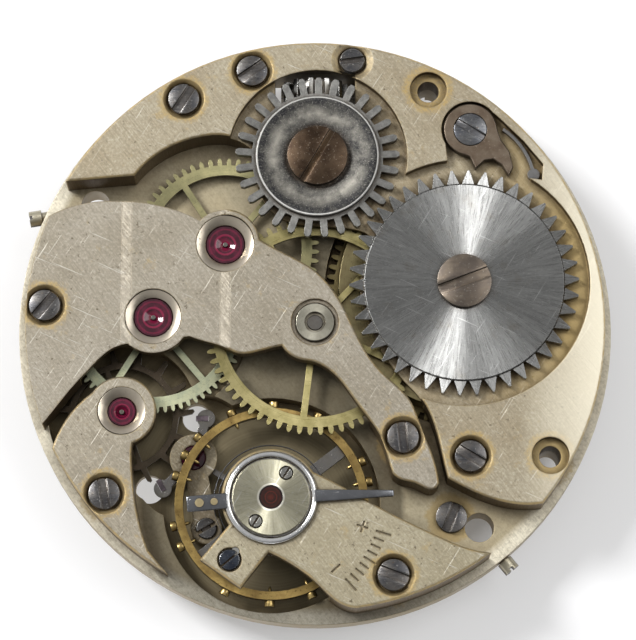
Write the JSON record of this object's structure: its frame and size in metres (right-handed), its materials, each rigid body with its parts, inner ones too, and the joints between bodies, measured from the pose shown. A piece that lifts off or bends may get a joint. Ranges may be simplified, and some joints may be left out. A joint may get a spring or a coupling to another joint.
{
  "type": "mechanical watch movement",
  "caption": "Hand-wound mechanical watch movement with plate, bridges, going train, balance and winding wheels, and posts for hour, minute and small seconds hands.",
  "frame": {"origin": "centre arbor axis, at the dial-side tip of the cannon pinion", "axes": "+Z from the dial side to the bridges, +Y towards the winding stem, +X to the right as seen from the bridge side"},
  "size_m": [0.0237, 0.0236, 0.0049],
  "materials": {
    "gilt_plate": "pale gold plating, satin",
    "nickel_bridge": "warm grey nickel plating, fine matt grain",
    "blue_grey_screw": "darkened polished steel",
    "bronze_screw": "brown tempered steel",
    "ruby": "polished synthetic ruby",
    "dark_ruby": "polished synthetic ruby",
    "polished_steel": "polished",
    "brushed_steel": "radial sunburst",
    "dark_steel": "mottled, worn",
    "spring_steel": "tempered",
    "brass": "satin",
    "wheel_gilt": "gilt, fine circular grain"
  },
  "bodies": {
    "frame": {"main_plate": "gilt_plate", "barrel_bridge": "nickel_bridge", "train_bridge": "nickel_bridge", "escape_cock": "nickel_bridge", "balance_cock": "nickel_bridge", "pallet_cock": "nickel_bridge", "bridge_screws": "blue_grey_screw", "small_screws": "blue_grey_screw", "dial_foot_screws": "blue_grey_screw", "train_jewels": "ruby", "pallet_jewels": "ruby", "balance_jewels": "ruby", "cap_jewels": "dark_ruby", "balance_caps": "polished_steel", "cap_screws": "polished_steel", "centre_bush": "brass", "crown_screw": "bronze_screw", "click_screw": "blue_grey_screw", "setting_bridge": "polished_steel", "hairspring_stud": "polished_steel", "stud_screw": "blue_grey_screw", "hairspring": "spring_steel", "click_spring": "spring_steel", "yoke_spring": "spring_steel"},
    "barrel": {"barrel_drum": "brass", "barrel_lid": "brass"},
    "arbor": {"barrel_arbor": "polished_steel", "ratchet_wheel": "brushed_steel", "ratchet_screw": "bronze_screw", "mainspring": "spring_steel"},
    "crown": {"crown_wheel": "dark_steel"},
    "click": {"click": "bronze_screw"},
    "winding": {"winding_pinion": "polished_steel"},
    "sliding": {"sliding_pinion": "polished_steel"},
    "setting_lever": {"setting_lever": "polished_steel", "setting_lever_screw": "polished_steel"},
    "yoke": {"yoke": "polished_steel"},
    "setting": {"setting_wheel": "polished_steel"},
    "minute": {"minute_wheel": "brass"},
    "hour": {"hour_wheel": "brass"},
    "centre": {"cannon_pinion": "polished_steel", "centre_pinion": "polished_steel", "centre_wheel": "wheel_gilt"},
    "third": {"third_pinion": "polished_steel", "third_wheel": "wheel_gilt"},
    "fourth": {"fourth_pinion": "polished_steel", "fourth_wheel": "wheel_gilt"},
    "escape": {"escape_pinion": "polished_steel", "escape_wheel": "polished_steel"},
    "fork": {"pallet_fork": "polished_steel", "pallet_stones": "ruby"},
    "balance": {"balance_rim": "brass", "balance_arms": "polished_steel", "balance_screws": "brass", "balance_staff": "polished_steel", "roller": "polished_steel", "impulse_jewel": "ruby", "hairspring_collet": "brass"},
    "regulator": {"regulator": "polished_steel", "regulator_pins": "brass"}
  },
  "joints": [
    {"name": "fourth_spin", "type": "hinge", "parent": "frame", "child": "fourth", "pos_m": [-0.00642, 0.00026, 0.00285], "axis": [0, 0, 1], "continuous": true},
    {"name": "third_spin", "type": "hinge", "parent": "frame", "child": "third", "pos_m": [-0.00358, 0.00322, 0.00315], "axis": [0, 0, 1], "continuous": true},
    {"name": "centre_spin", "type": "hinge", "parent": "frame", "child": "centre", "pos_m": [0, 0, 0.00345], "axis": [0, 0, 1], "continuous": true},
    {"name": "barrel_spin", "type": "hinge", "parent": "frame", "child": "barrel", "pos_m": [0.00592, 0.00164, 0.00245], "axis": [0, 0, 1], "continuous": true},
    {"name": "escape_spin", "type": "hinge", "parent": "frame", "child": "escape", "pos_m": [-0.00766, -0.00347, 0.00225], "axis": [0, 0, 1], "continuous": true},
    {"name": "minute_spin", "type": "hinge", "parent": "frame", "child": "minute", "pos_m": [-0.00086, 0.00213, 0.00145], "axis": [0, 0, 1], "continuous": true},
    {"name": "hour_spin", "type": "hinge", "parent": "frame", "child": "hour", "pos_m": [0, 0, 0.00135], "axis": [0, 0, 1], "continuous": true},
    {"name": "setting_spin", "type": "hinge", "parent": "frame", "child": "setting", "pos_m": [0, 0.00483, 0.00155], "axis": [0, 0, 1], "continuous": true},
    {"name": "ratchet_spin", "type": "hinge", "parent": "frame", "child": "arbor", "pos_m": [0.00592, 0.00164, 0.00415], "axis": [0, 0, 1], "continuous": true, "deforming": ["mainspring"]},
    {"name": "crown_spin", "type": "hinge", "parent": "frame", "child": "crown", "pos_m": [0.00009, 0.00675, 0.00415], "axis": [0, 0, 1], "continuous": true},
    {"name": "winding_spin", "type": "hinge", "parent": "frame", "child": "winding", "pos_m": [0, 0.00957, 0.0027], "axis": [0, 1, 0], "continuous": true},
    {"name": "click_turn", "type": "hinge", "parent": "frame", "child": "click", "pos_m": [0.00622, 0.00788, 0.00415], "axis": [0, 0, 1], "range_deg": [0, 8], "stiffness_Nm_per_rad": 0.000001, "deforming": ["click_spring"]},
    {"name": "setting_lever_turn", "type": "hinge", "parent": "frame", "child": "setting_lever", "pos_m": [0.00149, 0.01075, 0.00155], "axis": [0, 0, 1], "range_deg": [0, 12]},
    {"name": "yoke_turn", "type": "hinge", "parent": "frame", "child": "yoke", "pos_m": [0.0033, 0.00755, 0.00155], "axis": [0, 0, 1], "range_deg": [0, 10], "deforming": ["yoke_spring"]},
    {"name": "sliding_pinion_slide", "type": "slide", "parent": "frame", "child": "sliding", "axis": [0, 1, 0], "range_m": [-0.00045, 0]},
    {"name": "fork_turn", "type": "hinge", "parent": "frame", "child": "fork", "pos_m": [-0.00483, -0.00517, 0.00225], "axis": [0, 0, 1], "range_deg": [-5, 5]},
    {"name": "balance_turn", "type": "hinge", "parent": "frame", "child": "balance", "pos_m": [-0.00172, -0.00707, 0.00301], "axis": [0, 0, 1], "range_deg": [-270, 270], "stiffness_Nm_per_rad": 0.0000001, "deforming": ["hairspring"]},
    {"name": "regulator_turn", "type": "hinge", "parent": "frame", "child": "regulator", "pos_m": [-0.00172, -0.00707, 0.00475], "axis": [0, 0, 1], "range_deg": [-18, 18]}
  ],
  "couplings": [
    {"joint": "third_spin", "follows": "fourth_spin", "ratio": -0.13333},
    {"joint": "centre_spin", "follows": "fourth_spin", "ratio": 0.016667},
    {"joint": "barrel_spin", "follows": "fourth_spin", "ratio": -0.0025},
    {"joint": "escape_spin", "follows": "fourth_spin", "ratio": -10},
    {"joint": "minute_spin", "follows": "fourth_spin", "ratio": -0.0055556},
    {"joint": "hour_spin", "follows": "fourth_spin", "ratio": 0.0013889},
    {"joint": "setting_spin", "follows": "fourth_spin", "ratio": 0.0086957},
    {"joint": "crown_spin", "follows": "ratchet_spin", "ratio": -1.4483},
    {"joint": "winding_spin", "follows": "ratchet_spin", "ratio": 3.2308},
    {"joint": "setting_lever_turn", "follows": "sliding_pinion_slide", "rad_per_m": -465.4},
    {"joint": "yoke_turn", "follows": "sliding_pinion_slide", "rad_per_m": -387.8}
  ]
}
